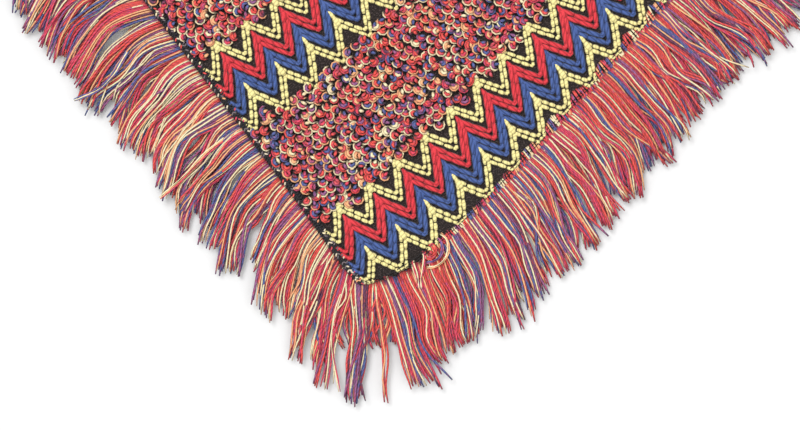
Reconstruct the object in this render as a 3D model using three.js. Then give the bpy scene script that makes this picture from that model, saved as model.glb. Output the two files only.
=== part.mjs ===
// Fringed poncho laid flat: two knitted rectangles folded over the shoulders, front point towards -Y.
// Millimetres, +Z up. The underside lies on z = 0.
import * as THREE from "three";

// Cut of each rectangle
const panelWidth = 600;
const flapLength = 150;
const sideLength = panelWidth + flapLength;
const wall = 3;
const seamGap = 0.3;

// Lie of the cloth: each hem runs this far to the side of the middle line
const hemAngle = THREE.MathUtils.degToRad(39.6);
const alongRight = new THREE.Vector2(Math.sin(hemAngle), Math.cos(hemAngle));
const alongLeft = new THREE.Vector2(-Math.sin(hemAngle), Math.cos(hemAngle));
// The bound end holds the stripes back along itself, and the front point is drawn in and tucked up
const endLift = 32;
const endLiftFade = 75;
const pointDraw = 15;
const pointDrawFade = 60;
const pointDrawReach = 100;
const pointTuck = 19;
const pointTuckFade = 30;

// Knitted pattern: zigzag band, then puff band, repeated from the fringed side inwards
const repeat = 200;
const zigPeriod = 37.5;
const zigStart = 10;
const ridgeHeight = 1;
const puffHeight = 2.4;
// One row for each crease line across the pattern: its distance from the side under a zigzag's foot
// and under its tip, and how far it stands out of the wall
const creases = [
  { foot: 1, tip: 25, height: 0 },
  { foot: 6, tip: 34, height: ridgeHeight },
  { foot: 14, tip: 44, height: 0 },
  { foot: 23, tip: 54, height: ridgeHeight },
  { foot: 34, tip: 65, height: 0 },
  { foot: 43, tip: 74, height: ridgeHeight },
  { foot: 55, tip: 84, height: 0 },
  { foot: 64, tip: 90, height: ridgeHeight },
  { foot: 75, tip: 97, height: 0 },
  { foot: 92, tip: 103, height: puffHeight },
  { foot: 143, tip: 155, height: puffHeight },
  { foot: 194, tip: 208, height: puffHeight },
  { foot: 199, tip: 215, height: 0 },
];
// The last repeat ends at the seam instead of at another zigzag
const seamShoulder = 6;

// Where plain surfaces have points, enough for the bends near the front point
const rightStops = [0, 10, 28, 47, 66, 85, 110, 140, 170, 210, 260, 330, 450];
const leftStops = [0, 20, 47, 85, 140, 230, 400];
const foldFacets = 4;
// No zigzag turn is placed nearer than this to the fold or to the flap's end
const foldClear = 4;
const flapEndClear = 1;

// Fringe: locks of yarn on a narrow heading
const locksPerRun = 49;
const lockPitch = 15;
const rootWidth = 10;
const lockLength = 116;
const lockLengthSpread = 8;
const swayAngle = THREE.MathUtils.degToRad(2);
const bentStations = [
  { share: 0.35, width: 11, thick: 1.6 },
  { share: 0.75, width: 8.5, thick: 1.4 },
  { share: 1, width: 4, thick: 0.8 },
];
const straightStations = [
  { share: 0.6, width: 10.5, thick: 1.5 },
  { share: 1, width: 4, thick: 0.8 },
];
// Short steps that a lock's curve is added up from
const lockSteps = 20;
// Locks that swing further than this have one more station
const bentBeyond = THREE.MathUtils.degToRad(8);
const headingWidth = 4;
const headingThick = 2.2;
const headingGap = 0.4;
// Near the front point the locks swing round towards -Y, and each one bends that way along its length
const pointSwing = THREE.MathUtils.degToRad(46);
const pointSwingReach = 190;
const pointSwingPower = 1.2;
const lockBend = THREE.MathUtils.degToRad(26);
const lockBendReach = 350;
// Each layer's heights above the surface, and the first lock's distance from the front point
const backLayer = { heading: 0.4, root: 1.5, tip: 1, firstLock: 14 };
const frontLayer = { heading: 3.6, root: 4.7, tip: 3.3, firstLock: 6.5 };

const wool = new THREE.MeshStandardMaterial({ color: 0x2a2426, roughness: 0.95, metalness: 0 });
const zigzagWool = new THREE.MeshStandardMaterial({ color: 0x5a3238, roughness: 0.95, metalness: 0 });
const fringeWool = new THREE.MeshStandardMaterial({ color: 0xd2554e, roughness: 0.9, metalness: 0 });
const fringeWoolShade = new THREE.MeshStandardMaterial({ color: 0x8a5a8c, roughness: 0.9, metalness: 0 });

// Where cloth point (u, v) lies: u along the right hem and v along the left one, from the front point
function place(u, v) {
  const [inU, inV] = [Math.max(u, 0), Math.max(v, 0)];
  const lift = endLift * Math.exp(-inU / endLiftFade);
  const draw = pointDraw * Math.exp(-inU / pointDrawReach - inV / pointDrawFade);
  const tuck = pointTuck * Math.exp(-(inU + inV) / pointTuckFade);
  const spot = alongRight.clone().multiplyScalar(u - draw).addScaledVector(alongLeft, v + lift);
  spot.y += tuck;
  return spot;
}

// 0 under a zigzag's foot, 1 under its tip, at a distance from the bound end
function zigzagPhase(distance) {
  const turn = THREE.MathUtils.euclideanModulo((distance - zigStart) / zigPeriod, 1);
  return 1 - Math.abs(2 * turn - 1);
}

// Distances from the bound end where the zigzags turn, between two limits
function zigzagTurns(from, to) {
  const turns = [];
  for (let i = 0; ; i += 1) {
    const at = zigStart + (i * zigPeriod) / 2;
    if (at >= to) return turns;
    if (at > from) turns.push(at);
  }
}

// Crease lines over the whole width, from the fringed side to the seam
function panelRows(width) {
  const rows = [{ foot: 0, tip: 0, height: 0 }];
  for (let start = 0; start < width; start += repeat) {
    const last = start + repeat >= width;
    const used = last ? creases.slice(0, -2) : creases;
    for (const crease of used) {
      rows.push({ foot: start + crease.foot, tip: start + crease.tip, height: crease.height });
    }
  }
  rows.push({ foot: width - seamShoulder, tip: width - seamShoulder, height: puffHeight });
  rows.push({ foot: width, tip: width, height: 0 });
  return rows;
}

// A panel's outer and inner surface along its length. travel runs from the bound end, over the
// shoulder fold and back along the flap; along is where that is on the flat garment.
function panelProfile(longLeafOnTop) {
  const turnCentre = wall + seamGap / 2;
  const foldLength = Math.PI * turnCentre;
  const sign = longLeafOnTop ? 1 : -1;
  const flapEnd = panelWidth + seamGap / 2;
  const onLeaf = (along, side, raised = false) =>
    ({ travel: along, along, height: turnCentre + sign * side, raised });
  const onFlap = (along, side, raised = false) =>
    ({ travel: 2 * sideLength + foldLength - along, along, height: turnCentre - sign * side, raised });
  const hidden = longLeafOnTop ? rightStops : leftStops;
  const leafTurns = zigzagTurns(0, sideLength - foldClear);
  const outer = longLeafOnTop
    ? [onLeaf(0, turnCentre), ...leafTurns.map((at) => onLeaf(at, turnCentre, true))]
    : hidden.map((at) => onLeaf(at, turnCentre));
  for (let i = 0; i <= foldFacets; i += 1) {
    const share = i / foldFacets;
    const angle = Math.PI * (0.5 - share);
    outer.push({
      travel: sideLength + foldLength * share,
      along: sideLength + turnCentre * Math.cos(angle),
      height: turnCentre + sign * turnCentre * Math.sin(angle),
      raised: false,
    });
  }
  if (!longLeafOnTop) {
    const flapTurns = zigzagTurns(sideLength + foldClear, 2 * sideLength - flapEnd - flapEndClear);
    outer.push(...flapTurns.map((turn) => onFlap(2 * sideLength - turn, turnCentre, true)));
  }
  outer.push(onFlap(flapEnd, turnCentre));
  const inner = [...hidden, sideLength].map((at) => onLeaf(at, seamGap / 2));
  inner.push(...[sideLength, flapEnd].map((at) => onFlap(at, seamGap / 2)));
  return { outer, inner };
}

// Rows of points joined into one surface; faces are [i, j, k] triples
function gridFaces(grid, faces) {
  for (let row = 0; row + 1 < grid.length; row += 1) {
    for (let i = 0; i + 1 < grid[row].length; i += 1) {
      const [a, b] = [grid[row][i], grid[row][i + 1]];
      const [c, d] = [grid[row + 1][i], grid[row + 1][i + 1]];
      faces.push([a, b, d], [a, d, c]);
    }
  }
}

// Strip between two edges of a wall, each a list of { index, at } in the same order
function edgeFaces(first, second, faces, flip) {
  let i = 0;
  let j = 0;
  const push = (a, b, c) => faces.push(flip ? [a, c, b] : [a, b, c]);
  while (i + 1 < first.length || j + 1 < second.length) {
    const nextFirst = i + 1 < first.length ? first[i + 1].at : Infinity;
    const nextSecond = j + 1 < second.length ? second[j + 1].at : Infinity;
    if (nextFirst <= nextSecond) {
      push(first[i].index, second[j].index, first[i + 1].index);
      i += 1;
    } else {
      push(first[i].index, second[j].index, second[j + 1].index);
      j += 1;
    }
  }
}

function signedVolume(points, faces) {
  let volume = 0;
  for (const [i, j, k] of faces) volume += points[i].dot(points[j].clone().cross(points[k])) / 6;
  return volume;
}

// One closed body with its faces outward
function solidFrom(name, points, faces, material) {
  const outward = signedVolume(points, faces) > 0;
  const geometry = new THREE.BufferGeometry().setFromPoints(points);
  geometry.setIndex(faces.flatMap(([i, j, k]) => (outward ? [i, j, k] : [i, k, j])));
  geometry.computeVertexNormals();
  const mesh = new THREE.Mesh(geometry, material);
  mesh.name = name;
  return mesh;
}

// front: the long leaf lies on top. The other panel is the same cut turned over.
function makePanel(name, front, material) {
  const width = panelWidth - seamGap / 2;
  const { outer, inner } = panelProfile(front);
  const points = [];
  const faces = [];
  const surface = (profile, rows) =>
    rows.map((row) =>
      profile.map((point) => {
        const distance = front ? point.along : 2 * sideLength - point.along;
        const across = THREE.MathUtils.lerp(row.foot, row.tip, zigzagPhase(distance));
        const spot = front ? place(point.along, across) : place(across, point.along);
        const height = point.height + (point.raised ? row.height : 0);
        return points.push(new THREE.Vector3(spot.x, spot.y, height)) - 1;
      }),
    );
  const outerRows = panelRows(width);
  const innerStops = [...(front ? leftStops : rightStops), width];
  const innerRows = innerStops.map((at) => ({ foot: at, tip: at, height: 0 }));
  const outerGrid = surface(outer, outerRows);
  const innerGrid = surface(inner, innerRows);
  const reversedInner = innerGrid.map((row) => [...row].reverse());
  gridFaces(outerGrid, faces);
  gridFaces(reversedInner, faces);
  const lengthwise = (grid, row, profile) => grid[row].map((index, i) => ({ index, at: profile[i].travel }));
  const lastOuter = outerGrid.length - 1;
  const lastInner = innerGrid.length - 1;
  edgeFaces(lengthwise(outerGrid, 0, outer), lengthwise(innerGrid, 0, inner), faces, false);
  edgeFaces(lengthwise(outerGrid, lastOuter, outer), lengthwise(innerGrid, lastInner, inner), faces, true);
  for (const end of [0, 1]) {
    const column = (grid, profile, rows) => {
      const i = end * (profile.length - 1);
      const phase = zigzagPhase(front ? profile[i].along : 2 * sideLength - profile[i].along);
      return grid.map((row, r) => ({
        index: row[i],
        at: THREE.MathUtils.lerp(rows[r].foot, rows[r].tip, phase),
      }));
    };
    edgeFaces(column(outerGrid, outer, outerRows), column(innerGrid, inner, innerRows), faces, end === 0);
  }
  return solidFrom(name, points, faces, material);
}

// Steady stand-in for chance: the same value in -1..1 for the same lock every time
function chance(index, seed) {
  const wave = Math.sin(index * 12.9898 + seed * 78.233) * 43758.5453;
  return 2 * (wave - Math.floor(wave)) - 1;
}

// Point on a hem, a distance outside the cloth, with the run on the right or the left
function hemPoint(rightRun, along, outside) {
  return rightRun ? place(along, -outside) : place(-outside, along);
}

// Straight out from the hem
function outwardDirection(rightRun) {
  return rightRun
    ? new THREE.Vector2(alongRight.y, -alongRight.x)
    : new THREE.Vector2(-alongLeft.y, alongLeft.x);
}

// Stations of one lock, from its root out: it swings towards -Y near the front point
function lockSections(rightRun, along, layer, index) {
  const outward = outwardDirection(rightRun);
  const swing = pointSwing * Math.exp(-((along / pointSwingReach) ** pointSwingPower));
  const bend = lockBend * Math.exp(-((along / lockBendReach) ** 2));
  const sway = swayAngle * chance(index, 3);
  const length = lockLength + lockLengthSpread * chance(index, 5);
  const heading = (share) => {
    const turn = swing + bend * (share - 0.5) + sway * share;
    return outward.clone().rotateAround(new THREE.Vector2(), rightRun ? -turn : turn);
  };
  const quarterTurn = rightRun ? Math.PI / 2 : -Math.PI / 2;
  const path = [hemPoint(rightRun, along, headingGap + headingWidth)];
  for (let i = 0; i < lockSteps; i += 1) {
    path.push(path[i].clone().addScaledVector(heading((i + 0.5) / lockSteps), length / lockSteps));
  }
  return (swing > bentBeyond ? bentStations : straightStations).map((station) => {
    const at = path[Math.round(station.share * lockSteps)];
    const side = heading(station.share).rotateAround(new THREE.Vector2(), quarterTurn);
    const height = THREE.MathUtils.lerp(layer.root, layer.tip, station.share);
    const [low, high] = [height - station.thick / 2, height + station.thick / 2];
    const before = at.clone().addScaledVector(side, -station.width / 2);
    const after = at.clone().addScaledVector(side, station.width / 2);
    return [
      new THREE.Vector3(before.x, before.y, low),
      new THREE.Vector3(before.x, before.y, high),
      new THREE.Vector3(after.x, after.y, high),
      new THREE.Vector3(after.x, after.y, low),
    ];
  });
}

// Four sides between two rings of four points
function ringFaces(first, second, faces, open = -1) {
  for (let i = 0; i < 4; i += 1) {
    const next = (i + 1) % 4;
    if (i === open) continue;
    faces.push([first[i], first[next], second[next]], [first[i], second[next], second[i]]);
  }
}

// Heading strip with every lock growing out of its outer face
function makeFringe(name, rightRun, layer, seed, material) {
  const points = [];
  const faces = [];
  const addRing = (corners) => corners.map((corner) => points.push(corner) - 1);
  const headingRing = (along) => {
    const near = hemPoint(rightRun, along, headingGap);
    const far = hemPoint(rightRun, along, headingGap + headingWidth);
    const [low, high] = [layer.heading, layer.heading + headingThick];
    return addRing([
      new THREE.Vector3(near.x, near.y, low),
      new THREE.Vector3(far.x, far.y, low),
      new THREE.Vector3(far.x, far.y, high),
      new THREE.Vector3(near.x, near.y, high),
    ]);
  };
  let last = headingRing(0);
  faces.push([last[0], last[2], last[1]], [last[0], last[3], last[2]]);
  for (let i = 0; i < locksPerRun; i += 1) {
    const along = layer.firstLock + lockPitch * i;
    const before = headingRing(along - rootWidth / 2);
    const after = headingRing(along + rootWidth / 2);
    ringFaces(last, before, faces);
    ringFaces(before, after, faces, 1);
    let ring = [before[1], before[2], after[2], after[1]];
    for (const section of lockSections(rightRun, along, layer, seed + i)) {
      const next = addRing(section);
      ringFaces(ring, next, faces);
      ring = next;
    }
    faces.push([ring[0], ring[1], ring[2]], [ring[0], ring[2], ring[3]]);
    last = after;
  }
  const end = headingRing(sideLength);
  ringFaces(last, end, faces);
  faces.push([end[0], end[1], end[2]], [end[0], end[2], end[3]]);
  return solidFrom(name, points, faces, material);
}

const poncho = new THREE.Group();
poncho.add(makePanel("panel_front", true, zigzagWool));
poncho.add(makePanel("panel_back", false, wool));
poncho.add(makeFringe("fringe_front_right", true, frontLayer, 0, fringeWool));
poncho.add(makeFringe("fringe_front_left", false, frontLayer, 100, fringeWool));
poncho.add(makeFringe("fringe_back_right", true, backLayer, 200, fringeWoolShade));
poncho.add(makeFringe("fringe_back_left", false, backLayer, 300, fringeWoolShade));

// The origin is the middle of the underside
const extent = new THREE.Box3().setFromObject(poncho);
const middle = extent.getCenter(new THREE.Vector3());
poncho.position.set(-middle.x, -middle.y, 0);

export default poncho;
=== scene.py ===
"""A fringed poncho laid flat, seen from straight above its front point.

Two knitted panels are each folded over one shoulder. Chained zigzag bands and bands of looped puffs
stand on the cloth, the cut end is overlocked, and the hems carry a long yarn fringe.
"""

import math

import bmesh
import bpy
import numpy as np
from bpy.props import FloatProperty, FloatVectorProperty, IntProperty, PointerProperty
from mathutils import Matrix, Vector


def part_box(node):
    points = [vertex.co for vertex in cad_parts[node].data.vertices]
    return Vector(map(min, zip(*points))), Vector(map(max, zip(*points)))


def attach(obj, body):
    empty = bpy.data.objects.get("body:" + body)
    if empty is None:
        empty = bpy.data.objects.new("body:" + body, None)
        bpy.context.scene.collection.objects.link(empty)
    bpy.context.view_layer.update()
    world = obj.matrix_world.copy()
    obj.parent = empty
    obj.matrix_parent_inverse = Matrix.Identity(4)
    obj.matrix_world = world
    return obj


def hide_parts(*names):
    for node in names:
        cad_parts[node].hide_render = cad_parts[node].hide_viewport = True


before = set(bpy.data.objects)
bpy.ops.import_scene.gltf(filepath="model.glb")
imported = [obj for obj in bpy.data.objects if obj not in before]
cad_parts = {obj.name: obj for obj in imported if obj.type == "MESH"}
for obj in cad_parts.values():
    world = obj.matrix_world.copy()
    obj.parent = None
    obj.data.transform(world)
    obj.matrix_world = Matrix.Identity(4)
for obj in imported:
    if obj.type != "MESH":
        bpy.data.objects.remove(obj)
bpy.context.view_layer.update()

bl_info = {
    "name": "Fringed Poncho",
    "version": (1, 0, 0),
    "blender": (4, 5, 0),
    "location": "3D View > Sidebar > Poncho",
    "description": "Knitted poncho with zigzag and puff bands and a yarn fringe",
    "category": "Object",
}

MM = 0.001

# Cut of each panel, as the solids have it
PANEL_WIDTH = 600 * MM
FLAP_LENGTH = 150 * MM
SIDE_LENGTH = PANEL_WIDTH + FLAP_LENGTH
WALL = 3 * MM
SEAM_GAP = 0.3 * MM
LEAF_TOP = 2 * WALL + SEAM_GAP
FOLD_RADIUS = LEAF_TOP / 2

# Lie of the cloth, as the solids have it
HEM_ANGLE = math.radians(39.6)
ALONG_RIGHT = (math.sin(HEM_ANGLE), math.cos(HEM_ANGLE))
ALONG_LEFT = (-math.sin(HEM_ANGLE), math.cos(HEM_ANGLE))
END_LIFT = 32 * MM
END_LIFT_FADE = 75 * MM
POINT_DRAW = 15 * MM
POINT_DRAW_FADE = 60 * MM
POINT_DRAW_REACH = 100 * MM
POINT_TUCK = 19 * MM
POINT_TUCK_FADE = 30 * MM

# Knitted pattern: distances along a stripe from the bound end, and across the stripes from the hem
REPEAT = 203 * MM
REPEATS = 3
ZIG_PERIOD = 37.5 * MM
ZIG_START = 10 * MM
ZIG_RISE = 31.5 * MM
# Chain rows: colour, foot above the repeat's start, how wide for its kind, and links on each leg
CHAIN_ROWS = (
    ("yellow", -5 * MM, 1.08, (3, 4)),
    ("yellow", 3 * MM, 1.08, (3, 4)),
    ("blue", 15.2 * MM, 1.32, (2, 3)),
    ("blue", 23.8 * MM, 1.32, (2, 3)),
    ("red", 35.7 * MM, 1.32, (2, 3)),
    ("red", 44.3 * MM, 1.32, (2, 3)),
    ("yellow", 57 * MM, 1.08, (3, 4)),
    ("yellow", 65 * MM, 1.08, (3, 4)),
)
# How low the first repeat's lowest rows reach, and how high the last rows reach
HEM_LIMITS = (2.5 * MM, 7.5 * MM)
TOP_LIMITS = (89.5 * MM, 93 * MM)
PUFFS_FROM = (79 * MM, 93 * MM)
PUFFS_TO = (201 * MM, 217 * MM)
# From a face's first edge, which is the braid or the fold: where its columns of puffs start, and how
# near to it a puff's middle comes
PUFFS_START = {"front": 8.2 * MM, "shoulder": 6 * MM}
PUFF_CLEAR = {"front": 6.4 * MM, "shoulder": 5.5 * MM}

# Fringe: how far its locks turn from straight out of the hem
POINT_SWING = math.radians(46)
POINT_SWING_REACH = 190 * MM
POINT_SWING_POWER = 1.2
# How much a lock turns on its way, in degrees, by distance from the front point in millimetres
BENDS_RIGHT = ((0, 10), (60, 22), (150, 27), (300, 22), (450, 12), (750, 4))
BENDS_LEFT = ((0, 12), (60, 34), (150, 48), (300, 54), (420, 60), (560, 45), (750, 15))
# How long a lock is, in millimetres, by the same distance
LENGTHS_RIGHT = (
    (15, 122), (50, 122), (90, 100), (106, 104), (130, 119), (160, 120), (174, 104), (190, 110),
    (206, 119), (222, 118), (240, 109), (290, 107), (350, 106), (376, 102), (405, 104), (440, 112),
    (750, 116),
)
LENGTHS_LEFT = (
    (0, 120), (20, 131), (50, 111), (65, 110), (75, 90), (90, 108), (107, 110), (125, 84), (138, 112),
    (180, 111), (235, 112), (250, 101), (268, 108), (290, 114), (317, 109), (336, 115), (750, 116),
)


def dye(red, green, blue):
    """A colour as it looks on a screen, 0 to 255, in the linear values that Blender keeps."""
    shares = (red / 255, green / 255, blue / 255)
    return tuple(c / 12.92 if c <= 0.04045 else ((c + 0.055) / 1.055) ** 2.4 for c in shares)


def length_setting(name, description, millimetres, least=0.1, most=500.0):
    return FloatProperty(
        name=name,
        description=description,
        default=millimetres * MM,
        min=least * MM,
        max=most * MM,
        unit="LENGTH",
        subtype="DISTANCE",
    )


def count_setting(name, description, count):
    return IntProperty(name=name, description=description, default=count, min=3, max=40)


def strength_setting(name, description, strength):
    return FloatProperty(name=name, description=description, default=strength, min=0)


def colour_setting(name, description, colour):
    return FloatVectorProperty(
        name=name, description=description, default=colour, size=3, min=0.0, max=1.0, subtype="COLOR"
    )


class PonchoKnit(bpy.types.PropertyGroup):
    """Sizes and colours of the cloth"""

    chain_width: length_setting("Chain width", "Width of one chain row of a zigzag", 4.25)
    chain_height: length_setting("Chain height", "How thick a chain link is", 2.8)
    puff_size: length_setting("Puff size", "Width of one looped puff", 12)
    puff_spacing: length_setting("Puff spacing", "Distance from one puff to the next in a row", 9.2)
    puff_yarn: length_setting("Puff yarn", "Thickness of the yarn that outlines a puff", 2.3)
    yellow: colour_setting("Yellow", "Pale yellow chain rows", dye(252, 233, 158))
    red: colour_setting("Red", "Red chain rows", dye(222, 56, 66))
    blue: colour_setting("Blue", "Blue chain rows", dye(70, 94, 154))
    ground: colour_setting("Ground", "Dark ground knit", dye(56, 47, 45))


class PonchoFringe(bpy.types.PropertyGroup):
    """Sizes and colours of the fringe"""

    lock_spacing: length_setting("Lock spacing", "Distance between locks along a hem", 15)
    yarn_width: length_setting("Yarn width", "Thickness of a fringe yarn", 2.0)
    front_yarns: count_setting("Front yarns", "Yarns in each upper lock", 16)
    back_yarns: count_setting("Back yarns", "Yarns in each lower lock", 13)
    coral: colour_setting("Coral", "Commonest fringe yarn", dye(252, 88, 80))
    rose: colour_setting("Rose", "Pink-red fringe yarn", dye(236, 74, 98))
    apricot: colour_setting("Apricot", "Orange-cream fringe yarn", dye(255, 186, 134))
    cream: colour_setting("Cream", "Pale fringe yarn", dye(255, 234, 190))
    violet: colour_setting("Violet", "Purple fringe yarn", dye(158, 98, 146))
    slate: colour_setting("Slate", "Blue fringe yarn", dye(90, 104, 162))
    plum: colour_setting("Plum", "Dark fringe yarn", dye(110, 62, 92))


class PonchoStage(bpy.types.PropertyGroup):
    """The view, the light and the floor"""

    view_width: length_setting("View width", "Width of cloth that the camera sees", 800, 50, 3000)
    view_x: length_setting("View X", "Where the camera looks, across", 18.3, -1000, 1000)
    view_y: length_setting("View Y", "Where the camera looks, along", -374.2, -1000, 1000)
    roll: FloatProperty(
        name="Roll",
        description="Turn of the camera about its line of sight",
        default=math.radians(2),
        subtype="ANGLE",
        unit="ROTATION",
    )
    lens: FloatProperty(
        name="Lens", description="Focal length", default=180, min=20, max=400, unit="CAMERA"
    )
    sky: strength_setting("Sky strength", "Strength of the even white light", 0.93)
    sun: strength_setting("Sun strength", "Strength of the soft main light", 1.5)
    floor: colour_setting("Floor", "White floor", (0.81, 0.81, 0.81))


def lie_unplaced(along_right, along_left):
    """Where a point of the cloth lies, before the whole is put in its place in the frame."""
    beyond_right = np.maximum(along_right, 0)
    beyond_left = np.maximum(along_left, 0)
    lift = END_LIFT * np.exp(-beyond_right / END_LIFT_FADE)
    draw = POINT_DRAW * np.exp(-beyond_right / POINT_DRAW_REACH - beyond_left / POINT_DRAW_FADE)
    tuck = POINT_TUCK * np.exp(-(beyond_right + beyond_left) / POINT_TUCK_FADE)
    out = along_right - draw
    up = along_left + lift
    x = ALONG_RIGHT[0] * out + ALONG_LEFT[0] * up
    y = ALONG_RIGHT[1] * out + ALONG_LEFT[1] * up + tuck
    return x, y


def frame_offset():
    """How far the solids' own coordinates were moved when they were packed."""
    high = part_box("panel_front")[1]
    edge_x = lie_unplaced(SIDE_LENGTH + FOLD_RADIUS, 0)[0]
    edge_y = lie_unplaced(SIDE_LENGTH + FOLD_RADIUS, PANEL_WIDTH - SEAM_GAP / 2)[1]
    return high.x - edge_x, high.y - edge_y


OFFSET_X, OFFSET_Y = frame_offset()


def lie(along_right, along_left):
    """Where a point of the cloth lies in the frame, by how far it is along each hem."""
    x, y = lie_unplaced(along_right, along_left)
    return x + OFFSET_X, y + OFFSET_Y


def front_face(along, across):
    """The panel that makes the front point: its stripes run along the right hem."""
    return lie(along, across)


def shoulder_face(along, across):
    """The other panel's flap on the front: its stripes run along the left hem."""
    return lie(across, 2 * SIDE_LENGTH - along)


# Each face that looks up: its name, where it lies, and the part of the panel's length that it shows
TOP_FACES = (
    ("front", front_face, 0.0, SIDE_LENGTH),
    ("shoulder", shoulder_face, SIDE_LENGTH, 2 * SIDE_LENGTH - PANEL_WIDTH),
)


def on_face(face, along, across, height):
    """Points on a face, at a height over the floor, in metres."""
    x, y = face(along, across)
    return np.stack(np.broadcast_arrays(x, y, height), axis=-1)


def tooth(along):
    """0 over a zigzag's foot, rising to 1 over its tip."""
    phase = (along - ZIG_START) / ZIG_PERIOD
    return 2 * np.abs(phase - np.round(phase))


def add_piece(name, mesh, finishes):
    """Put a mesh into the scene as a smooth piece on the one body."""
    mesh.polygons.foreach_set("use_smooth", np.ones(len(mesh.polygons), bool))
    for finish in finishes:
        mesh.materials.append(finish)
    made = bpy.data.objects.new(name, mesh)
    bpy.context.scene.collection.objects.link(made)
    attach(made, "root")
    return made


# The twist of each tube starts elsewhere on its yarn: by this share of the shift more than the last
TWIST_SHARE = 0.618
TWIST_SHIFT = 20 * MM


class Strands:
    """Closed tubes gathered into one mesh, each with its own finish."""

    def __init__(self):
        self.points = []
        self.faces = []
        self.finishes = []
        self.uvs = []
        self.point_count = 0

    def add(self, lines, radii, sides, finish, flatness=1.0, turn=0.0):
        """lines is (tubes, stations, 3); finish is one number, one for each tube, or one for each stretch."""
        tubes, stations = lines.shape[:2]
        run = np.gradient(lines, axis=1)
        run /= np.maximum(np.linalg.norm(run, axis=2, keepdims=True), 1e-9)
        side_way = np.cross(run, (0.0, 0.0, 1.0))
        side_way /= np.maximum(np.linalg.norm(side_way, axis=2, keepdims=True), 1e-9)
        up_way = np.cross(side_way, run)
        corner = turn + 2 * np.pi * np.arange(sides) / sides
        reach = np.broadcast_to(radii, (tubes, stations))[:, :, None, None]
        ring = side_way[:, :, None] * np.cos(corner)[:, None]
        ring = ring + up_way[:, :, None] * (flatness * np.sin(corner)[:, None])
        self.points.append((lines[:, :, None] + ring * reach).reshape(-1, 3))

        first = self.point_count + np.arange(tubes * stations).reshape(tubes, stations) * sides
        self.point_count += tubes * stations * sides
        start = first[:, :-1, None]
        here = start + np.arange(sides)
        beside = start + (np.arange(sides) + 1) % sides
        walls = np.stack((here, here + sides, beside + sides, beside), axis=-1)
        self.faces += walls.reshape(-1, 4).tolist()
        ends = np.stack((first[:, :1] + np.arange(sides), first[:, -1:] + np.arange(sides)[::-1]), axis=1)
        self.faces += ends.reshape(-1, sides).tolist()

        given = np.asarray(finish)
        if given.ndim < 2:
            given = given.reshape(-1, 1)
        spans = np.broadcast_to(given, (tubes, stations - 1))
        self.finishes.append(np.repeat(spans, sides, axis=1).ravel())
        self.finishes.append(np.stack((spans[:, 0], spans[:, -1]), axis=1).ravel())

        steps = np.linalg.norm(np.diff(lines, axis=1), axis=2)
        reached = np.concatenate((np.zeros((tubes, 1)), np.cumsum(steps, axis=1)), axis=1)
        reached = reached + (np.arange(tubes) * TWIST_SHARE % 1)[:, None] * TWIST_SHIFT
        low = np.broadcast_to(reached[:, :-1, None], (tubes, stations - 1, sides))
        high = np.broadcast_to(reached[:, 1:, None], (tubes, stations - 1, sides))
        left = np.broadcast_to(np.arange(sides) / sides, low.shape)
        right = left + 1 / sides
        wall_uv = np.stack((left, low, left, high, right, high, right, low), axis=-1)
        self.uvs.append(wall_uv.reshape(-1, 2))
        end_length = np.repeat(np.stack((reached[:, 0], reached[:, -1]), axis=1).ravel(), sides)
        self.uvs.append(np.stack((np.zeros_like(end_length), end_length), axis=-1))

    def build(self, name, finishes):
        mesh = bpy.data.meshes.new(name)
        mesh.from_pydata(np.concatenate(self.points).tolist(), [], self.faces)
        mesh.polygons.foreach_set("material_index", np.concatenate(self.finishes).astype(np.int32))
        layer = mesh.uv_layers.new(name="yarn")
        layer.data.foreach_set("uv", np.concatenate(self.uvs).ravel())
        return add_piece(name, mesh, finishes)


def add_node(tree, kind, inputs=None, **settings):
    """A shader node, with its inputs given as values or as the sockets that feed them."""
    made = tree.nodes.new(kind)
    for key, value in settings.items():
        setattr(made, key, value)
    for key, value in (inputs or {}).items():
        if isinstance(value, bpy.types.NodeSocket):
            tree.links.new(value, made.inputs[key])
        else:
            made.inputs[key].default_value = value
    return made


def arithmetic(tree, operation, *values):
    """What a Math node makes of one, two or three values."""
    return add_node(tree, "ShaderNodeMath", dict(enumerate(values)), operation=operation).outputs[0]


def mapped(tree, value, low, high, new_low, new_high):
    """A value moved from one range to another, and held inside it."""
    inputs = dict(enumerate((value, low, high, new_low, new_high)))
    return add_node(tree, "ShaderNodeMapRange", inputs).outputs[0]


def mixed(tree, share, first, second, blend_type="MIX"):
    """Two colours mixed, each given as a colour or as the socket that feeds it."""
    first, second = (c if isinstance(c, bpy.types.NodeSocket) else (*c, 1.0) for c in (first, second))
    inputs = {0: share, 6: first, 7: second}
    return add_node(tree, "ShaderNodeMix", inputs, data_type="RGBA", blend_type=blend_type).outputs[2]


def noise(tree, place, scale, detail, roughness=0.5):
    """Cloudy values from 0 to 1."""
    inputs = {"Vector": place, "Scale": scale, "Detail": detail, "Roughness": roughness}
    return add_node(tree, "ShaderNodeTexNoise", inputs).outputs[0]


def parts(tree, vector):
    """The three numbers of a vector."""
    return add_node(tree, "ShaderNodeSeparateXYZ", {0: vector}).outputs


def mesh_place(tree, layer):
    """Where a point is on its cloth or its yarn, in metres, as the mesh keeps it."""
    return add_node(tree, "ShaderNodeUVMap", uv_map=layer).outputs[0]


def stepped(tree, value, stops):
    """A colour picked by a value: each stop's colour holds from its place to the next."""
    picked = add_node(tree, "ShaderNodeValToRGB", {0: value})
    ramp = picked.color_ramp
    ramp.interpolation = "CONSTANT"
    while len(ramp.elements) < len(stops):
        ramp.elements.new(1.0)
    for element, (at, colour) in zip(ramp.elements, stops):
        element.position = at
        element.color = (*colour, 1.0)
    return picked.outputs[0]


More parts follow.
